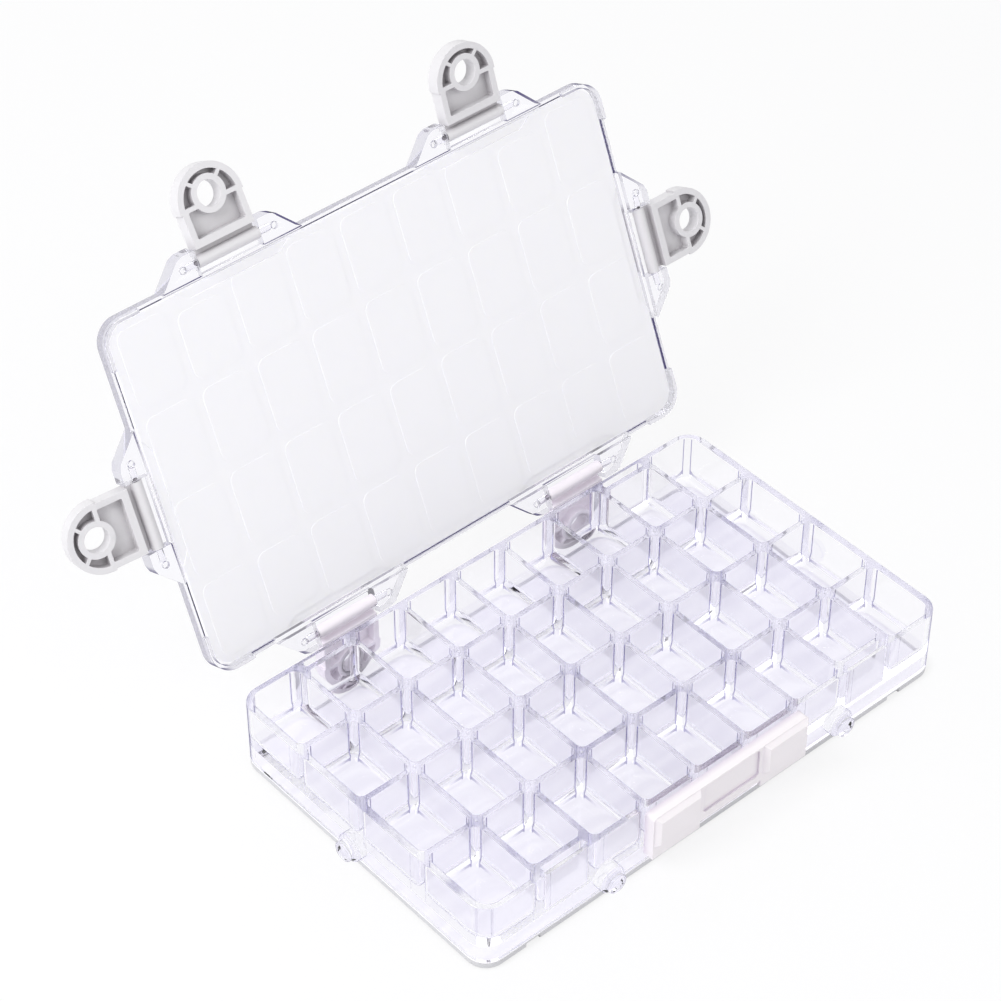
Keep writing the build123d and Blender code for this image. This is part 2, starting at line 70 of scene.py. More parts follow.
# The pegs: their height, and their profiles as pairs of distance out and radius
TAB_X = 53.8
PEG_Z = 10.9
PEG_COLLAR = [(0.02, 5.3), (3.55, 5.3), (3.8, 5.2), (3.9, 4.95), (3.9, 4.1), (4.1, 3.7)]
PEG_HEAD = [(5.3, 3.6), (5.5, 3.85), (5.7, 3.9), (6.2, 3.85), (6.45, 3.7), (6.6, 3.4)]

# The visible tray's rounds, softer than the solids', and the squares sunk where dividers cross
WELL_R = 2.6
CORNER_WELL_R = 5.5
WELL_FOOT_R = 4.4
FOOT_CORNER_R = 2.0
RIM_ROUND = 0.45
OUTER_ROUND = 0.5
DIMPLE = 0.55
DIMPLE_DEPTH = 0.6
SKIRT_BEVEL_HEIGHT = 0.3
SKIRT_BEVEL_WIDTH = 0.2

# A gap that keeps the skirt's lower edge off the base plate's top
BASE_GAP = 0.02

# How finely the rounds are cut: steps in a quarter turn, and round a peg
CORNER_STEPS = 6
EDGE_STEPS = 3
FOOT_STEPS = 8
PEG_STEPS = 40

# Angles, in degrees, above which an edge shows sharp, and from which it is softened
TRAY_SHARP = 35
DRESSED_SHARP = 40
SOFTENED_FROM = 30
NORMAL_WEIGHT = 95

# Cleaning of the solids' meshes: the merge distances in metres, and the angle that counts as flat
TRAY_MERGE = 1e-6
DRESSED_MERGE = 2e-6
FLAT_ANGLE = 0.5

# The soft back edges of the grip are let into the wall, so no dark groove shows
GRIP_LET_IN = 0.4
GRIP_BACK = TRAY_HALF_Y + 0.01

# The lid: its sizes, its hinge axis, and the way its inside faces and its front edge points when open
LID_HALF_X = 108.6
LID_HALF_Y = 66.0
TAB_BASE_HALF = 29.0
CORNER_SKIRT_ARM = 16.0
SKIRT_UNDERSIDE = 30.2
HINGE_Z = 30.3
LID_AXIS = Vector((0, 70.6, HINGE_Z))
LID_OPEN = radians(113.0)
LID_OUT = Vector((0, -sin(LID_OPEN), -cos(LID_OPEN)))
LID_UP = Vector((0, -cos(LID_OPEN), sin(LID_OPEN)))
ACROSS = Vector((1, 0, 0))

# Levels on the closed lid that are moved: the liner's pads and back, and the marks in the ears
PAD_UNDERSIDE = 29.3
PAD_FADE = 0.84
PANEL_UNDERSIDE = 32.0
LINER_GAP = 0.06
EAR_UNDERSIDE = 28.3
EAR_MARK_DEPTH = 0.4
EAR_MARK_SINK = 1.1
LEVEL_TOLERANCE = 0.1

# Half of a latch's barrel, whose pins go on into the lid's ears
BARREL_HALF = 12.7

# Painted refraction lines in the well corners: their width, how far from a divider's middle they run along
# it, and their end
WELL_LINE = 0.5
FOOT_LINE_IN = 2.1
FOOT_LINE_END = 12.0
LINE_ABOVE_FLOOR = 0.25
LINE_BELOW_RIM = 0.5
WELL_LINE_STRENGTH = 0.85
OUTER_LINE_STRENGTH = 0.35

# Painted lavender along the rims, standing in for the tint that bent light gives their edges: how far below
# the rim it starts and is full, and its patches
RIM_TINT_START = 0.6
RIM_TINT_FULL = 0.2
RIM_PATCH_SCALE = 55.0
RIM_PATCH_FROM = (0.45, 0.65)
RIM_PATCH_TO = (0.1, 0.62)

# How far a face looks out of the lid: its side walls, which get a painted refraction tint, and the liner's
# back, which gets painted shade
SIDE_FACING = (0.5, 0.1)
SIDE_REFRACTION_TINT = 0.4
BACK_FACING = -0.5

# The painted dark reflection line inside the skirt: how far in from the lid's edge it lies, and how deep it
# is
LINE_IN = 1.5
LINE_OUT = 0.95
LINE_DEPTH = 0.75

# Clear plastic, which bends rays and shows its painted edge lines for the first bounces only
CLEAR_COLOR = (0.99, 0.988, 1.0)
CLEAR_ROUGHNESS = 0.02
CLEAR_IOR = 1.33
CLEAR_BOUNCES = 1
THROUGH_COLOR = (0.985, 0.983, 0.994)

# Opaque and milky plastics
PLASTIC_IOR = 1.49
SILICONE_IOR = 1.41
SILICONE_COLOR = (0.94, 0.935, 0.965)
# The liner's back is coloured greyer as painted shade
SILICONE_BACK_SHADE = (0.74, 0.735, 0.765)
SILICONE_THROUGH_COLOR = (0.97, 0.97, 0.98)
SILICONE_THROUGH = 0.6
LATCH_COLOR = (0.73, 0.72, 0.74)
# The hollow colours are painted shade, put into grooves and pockets by ambient occlusion
LATCH_HOLLOW_SHADE = (0.42, 0.40, 0.42)
# Painted light: the hinge latches are the same plastic as the other latches, coloured lighter to stand in
# for light that reaches them only through the tray
HINGE_LATCH_LIT_COLOR = (0.92, 0.87, 0.93)
GRIP_COLOR = (0.98, 0.94, 0.965)
GRIP_HOLLOW_SHADE = (0.62, 0.53, 0.68)
BASE_COLOR = (0.84, 0.832, 0.88)
BASE_LIGHT_COLOR = (0.91, 0.905, 0.935)

# The base's streaks, and its painted shade, darker up its sides and darkest as a painted contact shadow at
# its foot: how high each shade reaches and how dark it is
STREAK_SCALE = (18.0, 190.0, 40.0)
STREAK_RAMP = (0.38, 0.62)
BASE_PAINTED_SHADES = ((BASE_TOP - 0.3, 0.62), (0.5, 0.2))
PAINTED_SHADE_BLUE = 1.03

# The studio, in metres; each lamp has a name, a place, a size and its watts
FLOOR_HALF = 3.0
FLOOR_Z = -0.0002
FLOOR_COLOR = (0.86, 0.86, 0.88)
FLOOR_GLOW = 0.8
WORLD_LIGHT = 0.54
LAMP_AIM = Vector((0, 0.03, 0.06))
LAMPS = (
    ("key", (-1.0, 0.1, 1.15), 0.8, 14.5),
    ("fill", (0.5, -1.2, 0.9), 1.0, 4.8),
    ("back", (0.6, 1.1, 0.9), 0.9, 2.7),
)
WHITE = (1, 1, 1, 1)

# The corners of a rectangle, from the back right one on: two signs, and the angle where the arc starts
CORNERS = ((1, 1, 0), (-1, 1, 90), (-1, -1, 180), (1, -1, 270))


class Shape:
    """Points and faces in millimetres, turned into one mesh object in metres."""

    def __init__(self):
        self.points = []
        self.faces = []

    def add(self, points):
        first = len(self.points)
        self.points.extend(points)
        return list(range(first, len(self.points)))

    def ring(self, outline, z):
        return self.add([(x, y, z) for x, y in outline])

    def cap(self, ring):
        self.faces.append(tuple(ring))

    def bridge(self, rings):
        """Walls from each ring to the next."""
        for a, b in zip(rings, rings[1:]):
            for i in range(len(a)):
                j = (i + 1) % len(a)
                self.faces.append((a[i], a[j], b[j], b[i]))

    def make(self, name):
        mesh = bpy.data.meshes.new(name)
        bm = bmesh.new()
        verts = [bm.verts.new(Vector(point) * MM) for point in self.points]
        for face in self.faces:
            bm.faces.new([verts[i] for i in face])
        bmesh.ops.remove_doubles(bm, verts=bm.verts, dist=TRAY_MERGE)
        bmesh.ops.recalc_face_normals(bm, faces=bm.faces)
        bm.to_mesh(mesh)
        bm.free()
        obj = bpy.data.objects.new(name, mesh)
        bpy.context.scene.collection.objects.link(obj)
        smooth(mesh, TRAY_SHARP)
        return obj


def smooth(mesh, degrees):
    for polygon in mesh.polygons:
        polygon.use_smooth = True
    mesh.set_sharp_from_angle(angle=radians(degrees))


def quarter_turn(steps):
    return [pi / 2 * k / steps for k in range(1, steps + 1)]


def corner_arc(x, y, sign_x, sign_y, start, radius):
    """The arc that rounds the corner at x, y."""
    points = []
    for i in range(CORNER_STEPS + 1):
        a = radians(start + 90 * i / CORNER_STEPS)
        points.append((x - sign_x * radius + radius * cos(a), y - sign_y * radius + radius * sin(a)))
    return points


def rounded_rectangle(x0, x1, y0, y1, radii):
    """A rectangle with its own radius at each corner, in the order of CORNERS."""
    points = []
    for (sign_x, sign_y, start), radius in zip(CORNERS, radii):
        x = x1 if sign_x > 0 else x0
        y = y1 if sign_y > 0 else y0
        points += corner_arc(x, y, sign_x, sign_y, start, radius)
    return points


def cross_xs():
    """The middles of the cross dividers."""
    return [(i - (COLUMNS - 2) / 2) * PITCH_X for i in range(COLUMNS - 1)]


def long_ys():
    """The middles of the long dividers."""
    return [(j - (ROWS - 2) / 2) * PITCH_Y for j in range(ROWS - 1)]


def spans(lines, edge):
    """The stretch of rim beside each well, between the strips that carry the sunk squares."""
    lows = [-edge] + [v + DIMPLE for v in lines]
    highs = [v - DIMPLE for v in lines] + [edge]
    return list(zip(lows, highs))


def tray_perimeter(inset):
    """The tray's outline, with a point at each end of each span, so that it meets the rim's faces."""
    x_edge = TRAY_HALF_X - inset
    y_edge = TRAY_HALF_Y - inset
    xs = [v for span in spans(cross_xs(), 0) for v in span][1:-1]
    ys = [v for span in spans(long_ys(), 0) for v in span][1:-1]
    sides = (
        [(x, y_edge) for x in reversed(xs)],
        [(-x_edge, y) for y in reversed(ys)],
        [(x, -y_edge) for x in xs],
        [(x_edge, y) for y in ys],
    )
    points = []
    for (sign_x, sign_y, start), side in zip(CORNERS, sides):
        points += corner_arc(sign_x * x_edge, sign_y * y_edge, sign_x, sign_y, start, TRAY_CORNER_R - inset)
        points += side
    return points


def pit(shape, top_outline, rect, radii, edge_round, foot_round):
    """One hollow: rim rounding, straight walls, rounded foot and floor."""
    x0, x1, y0, y1 = rect

    def level(grow, z):
        grown = [max(radius + grow, min(radius, FOOT_CORNER_R)) for radius in radii]
        return shape.ring(rounded_rectangle(x0 - grow, x1 + grow, y0 - grow, y1 + grow, grown), z)

    rings = [shape.ring(top_outline, RIM), level(edge_round, RIM)]
    for a in quarter_turn(EDGE_STEPS):
        rings.append(level(edge_round * (1 - sin(a)), RIM - edge_round * (1 - cos(a))))
    rings.append(level(0, FLOOR_TOP + foot_round))
    for a in quarter_turn(FOOT_STEPS):
        rings.append(level(-foot_round * (1 - cos(a)), FLOOR_TOP + foot_round * (1 - sin(a))))
    shape.bridge(rings)
    shape.cap(rings[-1])


def has_slot(column, row):
    return column in SLOT_COLUMNS and row in (0, ROWS - 1)


def build_wells(shape, x_spans, y_spans):
    """A hollow in each cell, and a slot beside it in the cells next to the front and back latches."""
    for column, (west, east) in enumerate(x_spans):
        for row, (south, north) in enumerate(y_spans):
            x0 = -INNER_HALF_X + column * PITCH_X
            x1 = x0 + PITCH_X - DIVIDER
            y0 = -INNER_HALF_Y + row * PITCH_Y
            y1 = y0 + PITCH_Y - DIVIDER
            at_corner = [
                column == (COLUMNS - 1 if sign_x > 0 else 0) and row == (ROWS - 1 if sign_y > 0 else 0)
                for sign_x, sign_y, start in CORNERS
            ]
            radii = [CORNER_WELL_R if at else WELL_R for at in at_corner]
            top_radii = [TRAY_CORNER_R - OUTER_ROUND if at else 0 for at in at_corner]
            if has_slot(column, row):
                middle = (west + east) / 2
                if row == 0:
                    strip = (west, east, south, -SLOT_SPLIT_Y)
                    slot_ys = (-SLOT_OUTER_Y, -SLOT_INNER_Y)
                    south = -SLOT_SPLIT_Y
                    y0 = -SLOT_CELL_Y
                else:
                    strip = (west, east, SLOT_SPLIT_Y, north)
                    slot_ys = (SLOT_INNER_Y, SLOT_OUTER_Y)
                    north = SLOT_SPLIT_Y
                    y1 = SLOT_CELL_Y
                slot = (middle - SLOT_LENGTH / 2, middle + SLOT_LENGTH / 2, *slot_ys)
                top = rounded_rectangle(*strip, [0] * 4)
                pit(shape, top, slot, [SLOT_CORNER_R] * 4, SLOT_EDGE_ROUND, SLOT_FOOT_R)
            top = rounded_rectangle(west, east, south, north, top_radii)
            pit(shape, top, (x0, x1, y0, y1), radii, RIM_ROUND, WELL_FOOT_R)


def build_rim(shape, x_spans, y_spans):
    """The flat strips along the tops of the dividers, with a small sunk square at each crossing."""
    for i, x in enumerate(cross_xs()):
        for row, (south, north) in enumerate(y_spans):
            split = SLOT_SPLIT_Y if row else -SLOT_SPLIT_Y
            points = [(x - DIMPLE, south), (x + DIMPLE, south)]
            if has_slot(i + 1, row):
                points.append((x + DIMPLE, split))
            points += [(x + DIMPLE, north), (x - DIMPLE, north)]
            if has_slot(i, row):
                points.append((x - DIMPLE, split))
            shape.cap(shape.ring(points, RIM))
    for y in long_ys():
        for west, east in x_spans:
            points = [(west, y - DIMPLE), (east, y - DIMPLE), (east, y + DIMPLE), (west, y + DIMPLE)]
            shape.cap(shape.ring(points, RIM))
        for x in cross_xs():
            square = [(x + sign_x * DIMPLE, y + sign_y * DIMPLE) for sign_x, sign_y, start in CORNERS]
            top = shape.ring(square, RIM)
            low = shape.ring(square, RIM - DIMPLE_DEPTH)
            shape.bridge([top, low])
            shape.cap(low)


def build_walls(shape):
    """The rim's outer rounding, the outer wall, the skirt, and the underside of the wells' floor."""
    rings = [shape.ring(tray_perimeter(OUTER_ROUND), RIM)]
    for a in quarter_turn(EDGE_STEPS):
        outline = tray_perimeter(OUTER_ROUND * (1 - sin(a)))
        rings.append(shape.ring(outline, RIM - OUTER_ROUND * (1 - cos(a))))
    for inset, z in (
        (0, BASE_TOP + SKIRT_BEVEL_HEIGHT),
        (SKIRT_BEVEL_WIDTH, BASE_TOP + BASE_GAP),
        (SKIRT_WALL, BASE_TOP + BASE_GAP),
        (SKIRT_WALL, FLOOR_UNDERSIDE),
    ):
        rings.append(shape.ring(tray_perimeter(inset), z))
    shape.bridge(rings)
    shape.cap(rings[-1])


def lathe(shape, foot, out, profile):
    """A turned piece: profile holds pairs of distance out and radius."""
    side = Vector((0, 0, 1))
    other = out.cross(side)
    turns = [2 * pi * i / PEG_STEPS for i in range(PEG_STEPS)]
    rings = []
    for along, radius in profile:
        centre = foot + out * along
        ring = [tuple(centre + side * (radius * cos(t)) + other * (radius * sin(t))) for t in turns]
        rings.append(shape.add(ring))
    shape.cap(rings[0])
    shape.bridge(rings)
    shape.cap(rings[-1])


def build_pegs(shape):
    """Two pegs at the front, two at the back, and one at each end."""
    for side in (-1, 1):
        for x in (-TAB_X, TAB_X):
            lathe(shape, Vector((x, side * TRAY_HALF_Y, PEG_Z)), Vector((0, side, 0)), PEG_COLLAR + PEG_HEAD)
    for side in (-1, 1):
        lathe(shape, Vector((side * TRAY_HALF_X, 0, PEG_Z)), Vector((side, 0, 0)), PEG_COLLAR + PEG_HEAD)


def build_tray():
    shape = Shape()
    x_spans = spans(cross_xs(), TRAY_HALF_X - OUTER_ROUND)
    y_spans = spans(long_ys(), TRAY_HALF_Y - OUTER_ROUND)
    build_wells(shape, x_spans, y_spans)
    build_rim(shape, x_spans, y_spans)
    build_walls(shape)
    build_pegs(shape)
    return shape.make("tray")


def soften(obj, width, segments):
    bevel = obj.modifiers.new("soft_edges", "BEVEL")
    bevel.width = width * MM
    bevel.segments = segments
    bevel.limit_method = "ANGLE"
    bevel.angle_limit = radians(SOFTENED_FROM)
    bevel.use_clamp_overlap = True
    bevel.harden_normals = True


def even_normals(obj):
    """Normals led by the larger faces, so that flat faces look flat beside small rounds."""
    normals = obj.modifiers.new("even_normals", "WEIGHTED_NORMAL")
    normals.keep_sharp = True
    normals.weight = NORMAL_WEIGHT


def dressed(node, body, width, segments=2):
    """The CAD node's own shape as one clean mesh, with its edges softened."""
    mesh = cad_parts[node].data.copy()
    mesh.materials.clear()
    bm = bmesh.new()
    bm.from_mesh(mesh)
    bmesh.ops.remove_doubles(bm, verts=bm.verts, dist=DRESSED_MERGE)
    bmesh.ops.dissolve_limit(bm, angle_limit=radians(FLAT_ANGLE), verts=bm.verts, edges=bm.edges)
    bmesh.ops.recalc_face_normals(bm, faces=bm.faces)
    bm.to_mesh(mesh)
    bm.free()
    obj = bpy.data.objects.new(node + "_dressed", mesh)
    bpy.context.scene.collection.objects.link(obj)
    smooth(mesh, DRESSED_SHARP)
    soften(obj, width, segments)
    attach(obj, body)
    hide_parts(node)
    return obj


def sink(mesh, level, drop):
    """Push what lies at one level of the closed lid up into the lid. The lid is open in the rest pose."""
    for v in mesh.vertices:
        height = HINGE_Z - (v.co / MM - LID_AXIS).dot(LID_OUT)
        if abs(height - level) < LEVEL_TOLERANCE:
            v.co -= LID_OUT * drop * MM


def let_into_wall(mesh):
    """Push the back face of the grip into the tray's front wall."""
    for v in mesh.vertices:
        if v.co.y > -GRIP_BACK * MM:
            v.co.y += GRIP_LET_IN * MM


def clear_pins(obj, axis, material):
    """The pins past the ends of a latch's barrel are clear, as they show in the lid's ears."""
    mesh = obj.data
    along = [v.co.dot(axis) / MM for v in mesh.vertices]
    middle = (min(along) + max(along)) / 2
    mesh.materials.append(material)
    for polygon in mesh.polygons:
        if abs(polygon.center.dot(axis) / MM - middle) > BARREL_HALF:
            polygon.material_index = 1


def plug(tree, socket, value):
    """Give a socket a value, or link another node's output to it."""
    if isinstance(value, bpy.types.NodeSocket):
        tree.links.new(value, socket)
    else:
        socket.default_value = value


def add_node(tree, kind, **inputs):
    """A node with its inputs plugged; a space in an input's name is written as _."""
    node = tree.nodes.new(kind)
    for name, value in inputs.items():
        plug(tree, node.inputs[name.replace("_", " ")], value)
    return node


def calculate(tree, operation, *values):
    node = tree.nodes.new("ShaderNodeMath")
    node.operation = operation
    for socket, value in zip(node.inputs, values):
        plug(tree, socket, value)
    return node.outputs["Value"]


def product(tree, first, *others):
    for value in others:
        first = calculate(tree, "MULTIPLY", first, value)
    return first


def greatest(tree, first, *others):
    for value in others:
        first = calculate(tree, "MAXIMUM", first, value)
    return first


def near(tree, value, low, high):
    """1 between two values, 0 elsewhere."""
    return calculate(tree, "COMPARE", value, (low + high) / 2, (high - low) / 2)


def map_range(tree, value, from_min, from_max, to_min=0.0, to_max=1.0, interpolation="LINEAR"):
    node = add_node(
        tree,
        "ShaderNodeMapRange",
        Value=value,
        From_Min=from_min,
        From_Max=from_max,
        To_Min=to_min,
        To_Max=to_max,
    )
    node.interpolation_type = interpolation
    return node.outputs["Result"]


def dot_product(tree, vector, direction):
    node = tree.nodes.new("ShaderNodeVectorMath")
    node.operation = "DOT_PRODUCT"
    plug(tree, node.inputs[0], vector)
    plug(tree, node.inputs[1], tuple(direction))
    return node.outputs["Value"]


def mix_colors(tree, share, low, high):
    node = tree.nodes.new("ShaderNodeMix")
    node.data_type = "RGBA"
    plug(tree, node.inputs["Factor"], share)
    plug(tree, node.inputs["A"], low)
    plug(tree, node.inputs["B"], high)
    return node.outputs["Result"]


def mix_surfaces(tree, share, low, high):
    node = add_node(tree, "ShaderNodeMixShader", Fac=share)
    plug(tree, node.inputs[1], low)
    plug(tree, node.inputs[2], high)
    return node.outputs["Shader"]


def texture_place(tree):
    return tree.nodes.new("ShaderNodeTexCoord").outputs["Object"]


def coordinates(tree, where):
    place = add_node(tree, "ShaderNodeSeparateXYZ", Vector=where)
    return place.outputs["X"], place.outputs["Y"], place.outputs["Z"]


def add_noise(tree, where, scale, detail):
    return add_node(tree, "ShaderNodeTexNoise", Vector=where, Scale=scale, Detail=detail).outputs["Fac"]


def any_ray(tree, *kinds):
    """1 for a ray of any of these kinds."""
    path = tree.nodes.new("ShaderNodeLightPath")
    return greatest(tree, *[path.outputs[kind] for kind in kinds])


def principled(name, color, roughness, **values):
    material = bpy.data.materials.new(name)
    material.use_nodes = True
    shader = material.node_tree.nodes["Principled BSDF"]
    shader.inputs["Base Color"].default_value = (*color, 1)
    shader.inputs["Roughness"].default_value = roughness
    for key, value in values.items():
        shader.inputs[key.replace("_", " ")].default_value = value
    return material, shader


def add_grain(material, shader, scale, strength, distance, rough=None):
    """Fine moulded texture in the bump, and a little variation in the roughness."""
    tree = material.node_tree
    noise = add_noise(tree, texture_place(tree), scale, detail=4.0)
    bump = add_node(tree, "ShaderNodeBump", Strength=strength, Distance=distance, Height=noise)
    plug(tree, shader.inputs["Normal"], bump.outputs["Normal"])
    if rough:
        plug(tree, shader.inputs["Roughness"], map_range(tree, noise, 0.0, 1.0, *rough))


def add_streaks_and_painted_shade(material, shader, dark, light):
    """Soft streaks along the moulding's length, with painted shade: darker round its sides and darkest at
    its foot, a painted contact shadow.
    """
    tree = material.node_tree
    where = texture_place(tree)
    stretched = add_node(tree, "ShaderNodeMapping", Vector=where, Scale=STREAK_SCALE)
    noise = add_noise(tree, stretched.outputs["Vector"], scale=1.0, detail=3.0)
    ramp = add_node(tree, "ShaderNodeValToRGB", Fac=noise)
    for element, position, color in zip(ramp.color_ramp.elements, STREAK_RAMP, (dark, light)):
        element.position = position
        element.color = (*color, 1)
    height = coordinates(tree, where)[2]
    shown = ramp.outputs["Color"]
    # Painted shade: below each height the colour is darkened, the sides as shade and the foot as a contact
    # shadow
    for reach, shade in BASE_PAINTED_SHADES:
        below = calculate(tree, "LESS_THAN", height, reach * MM)
        shown = mix_colors(tree, below, shown, (shade, shade, shade * PAINTED_SHADE_BLUE, 1))
    plug(tree, shader.inputs["Base Color"], shown)


def shade_hollows(material, shader, color, deep, reach):
    """Painted shade: darker in grooves and pockets, mixed in by ambient occlusion."""
    tree = material.node_tree
    opening = add_node(tree, "ShaderNodeAmbientOcclusion", Distance=reach * MM).outputs["AO"]
    plug(tree, shader.inputs["Base Color"], mix_colors(tree, opening, (*deep, 1), (*color, 1)))


def let_light_through(material, shader, share):
    """Milky, so that part of the light falls through it to what it covers."""
    tree = material.node_tree
    through = add_node(tree, "ShaderNodeBsdfTransparent", Color=(*SILICONE_THROUGH_COLOR, 1))
    passes = product(tree, any_ray(tree, "Is Shadow Ray", "Is Diffuse Ray"), share)
    surface = mix_surfaces(tree, passes, shader.outputs["BSDF"], through.outputs["BSDF"])
    plug(tree, tree.nodes["Material Output"].inputs["Surface"], surface)


def facing_out(tree):
    """How far a face of the lid or its liner looks out of the lid's inside."""
    return dot_product(tree, tree.nodes.new("ShaderNodeTexCoord").outputs["Normal"], LID_OUT)


def shade_liner_back(material, shader, color, back):
    """Painted shade on the side that lies on the lid: that side is coloured greyer, so it shows dimmer
    through the lid.
    """
    tree = material.node_tree
    behind = calculate(tree, "LESS_THAN", facing_out(tree), BACK_FACING)
    plug(tree, shader.inputs["Base Color"], mix_colors(tree, behind, (*color, 1), (*back, 1)))


def rim_refraction_tint(tree, where):
    """Painted refraction tint: lavender along the tops of the dividers and walls, darker in places."""
    height = coordinates(tree, where)[2]
    crown = map_range(tree, height, (RIM - RIM_TINT_START) * MM, (RIM - RIM_TINT_FULL) * MM)
    noise = add_noise(tree, where, RIM_PATCH_SCALE, detail=2.0)
    return product(tree, crown, map_range(tree, noise, *RIM_PATCH_FROM, *RIM_PATCH_TO))


def painted_well_lines(tree, where):
    """Painted refraction lines: thin lines down the well corners, that turn outwards and fade along the foot
    of the walls.
    """
    x, y, z = coordinates(tree, where)
    x = calculate(tree, "DIVIDE", x, MM)
    y = calculate(tree, "DIVIDE", y, MM)
    inside = product(
        tree,
        near(tree, x, -INNER_HALF_X - 1, INNER_HALF_X + 1),
        near(tree, y, -INNER_HALF_Y - 1, INNER_HALF_Y + 1),
    )
    strength = map_range(tree, inside, 0.0, 1.0, OUTER_LINE_STRENGTH, WELL_LINE_STRENGTH)

    # Distances from the middles of the nearest cross and long dividers, the closer and the farther
    x = calculate(tree, "PINGPONG", calculate(tree, "ADD", x, PITCH_X / 2), PITCH_X / 2)
    y = calculate(tree, "PINGPONG", y, PITCH_Y / 2)
    close = calculate(tree, "MINIMUM", x, y)
    far = calculate(tree, "MAXIMUM", x, y)

    turn = calculate(tree, "SUBTRACT", close, DIVIDER / 2)
    turn = calculate(tree, "MINIMUM", greatest(tree, turn, 0.0), WELL_R - FOOT_CORNER_R)
    apart = calculate(tree, "ADD", calculate(tree, "SUBTRACT", far, close), turn)
    corner = product(
        tree,
        near(tree, apart, WELL_R - WELL_LINE / 2, WELL_R + WELL_LINE / 2),
        calculate(tree, "LESS_THAN", close, FOOT_LINE_IN + WELL_LINE),
    )
    foot = product(
        tree,
        near(tree, close, FOOT_LINE_IN - WELL_LINE / 2, FOOT_LINE_IN + WELL_LINE / 2),
        map_range(tree, far, FOOT_LINE_IN + FOOT_CORNER_R, FOOT_LINE_END, 1.0, 0.0),
        calculate(tree, "GREATER_THAN", far, FOOT_LINE_IN + FOOT_CORNER_R),
    )
    level = near(tree, z, (FLOOR_TOP + LINE_ABOVE_FLOOR) * MM, (RIM - LINE_BELOW_RIM) * MM)
    return product(tree, level, any_ray(tree, "Is Camera Ray"), strength, greatest(tree, corner, foot))


# Painted lines for the tray: the rim's refraction tint and the well corner lines
def painted_tray_lines(tree, where):
    return greatest(tree, rim_refraction_tint(tree, where), painted_well_lines(tree, where))


def skirt_reflection_line(tree, where):
    """A painted dark reflection line inside the open lid's skirt, between the corner skirts and the tabs."""

    def along(direction):
        return calculate(
            tree, "SUBTRACT", dot_product(tree, where, direction / MM), direction.dot(LID_AXIS)
        )

    x = calculate(tree, "ABSOLUTE", along(ACROSS))
    y = calculate(tree, "ABSOLUTE", calculate(tree, "SUBTRACT", LID_AXIS.y, along(LID_UP)))
    height = calculate(tree, "SUBTRACT", HINGE_Z, along(LID_OUT))
    middle = near(tree, x, -1, TAB_X - TAB_BASE_HALF)
    side = near(tree, x, TAB_X + TAB_BASE_HALF, LID_HALF_X - CORNER_SKIRT_ARM)
    front = product(
        tree,
        near(tree, y, LID_HALF_Y - LINE_IN, LID_HALF_Y - LINE_OUT),
        greatest(tree, middle, side),
    )
    end = product(
        tree,
        near(tree, x, LID_HALF_X - LINE_IN, LID_HALF_X - LINE_OUT),
        near(tree, y, TAB_BASE_HALF, LID_HALF_Y - CORNER_SKIRT_ARM),
    )
    level = near(tree, height, SKIRT_UNDERSIDE, SKIRT_UNDERSIDE + LINE_DEPTH)
    return product(tree, level, greatest(tree, front, end))


def painted_lid_lines(tree, where):
    """Painted lavender in the lid's side walls, standing in for the look of their edge-on refraction, and
    the painted dark reflection line inside its skirt.
    """
    slant = calculate(tree, "ABSOLUTE", facing_out(tree))
    side = map_range(tree, slant, *SIDE_FACING, 0.0, SIDE_REFRACTION_TINT)
    return greatest(tree, side, skirt_reflection_line(tree, where))


def clear_plastic(name, tint, density, painted_edge_color, edge_from, edge_to, lines):
    """Clear moulding: glassy, with lavender depth, painted lavender edges and painted lines, and open to the
    light that falls through it.
    """
    material, shader = principled(
        name, CLEAR_COLOR, CLEAR_ROUGHNESS, IOR=CLEAR_IOR, Transmission_Weight=1.0
    )
    tree = material.node_tree
    output = tree.nodes["Material Output"]
    absorb = add_node(tree, "ShaderNodeVolumeAbsorption", Color=(*tint, 1), Density=density)
    plug(tree, output.inputs["Volume"], absorb.outputs["Volume"])

    # Painted edges: where a face is seen edge-on, light passes in the edge colour, which stands in for the
    # dark refraction at edges; the painted lines are added, for the first bounces and not for shadow or
    # diffuse rays
    slant = add_node(tree, "ShaderNodeLayerWeight", Blend=0.5).outputs["Facing"]
    edge = map_range(tree, slant, edge_from, edge_to, interpolation="SMOOTHSTEP")
    drawn = greatest(tree, edge, lines(tree, texture_place(tree)))
    depth = tree.nodes.new("ShaderNodeLightPath").outputs["Ray Depth"]
    deep = calculate(tree, "GREATER_THAN", depth, CLEAR_BOUNCES)
    passes = greatest(tree, deep, any_ray(tree, "Is Shadow Ray", "Is Diffuse Ray"))
    drawn = product(tree, drawn, calculate(tree, "SUBTRACT", 1.0, passes))
    hue = mix_colors(tree, drawn, (*THROUGH_COLOR, 1), (*painted_edge_color, 1))
    through = add_node(tree, "ShaderNodeBsdfTransparent", Color=hue).outputs["BSDF"]
    surface = mix_surfaces(tree, greatest(tree, passes, drawn), shader.outputs["BSDF"], through)
    plug(tree, output.inputs["Surface"], surface)
    add_grain(material, shader, scale=60.0, strength=0.02, distance=0.0001)
    return material


def silicone_material():
    material, shader = principled(
        "milky_silicone", SILICONE_COLOR, roughness=0.55, IOR=SILICONE_IOR, Subsurface_Weight=0.15
    )
    shader.inputs["Subsurface Radius"].default_value = (0.004, 0.004, 0.005)
    let_light_through(material, shader, SILICONE_THROUGH)
    shade_liner_back(material, shader, SILICONE_COLOR, SILICONE_BACK_SHADE)
    add_grain(material, shader, scale=260.0, strength=0.08, distance=0.0003, rough=(0.5, 0.65))
    return material


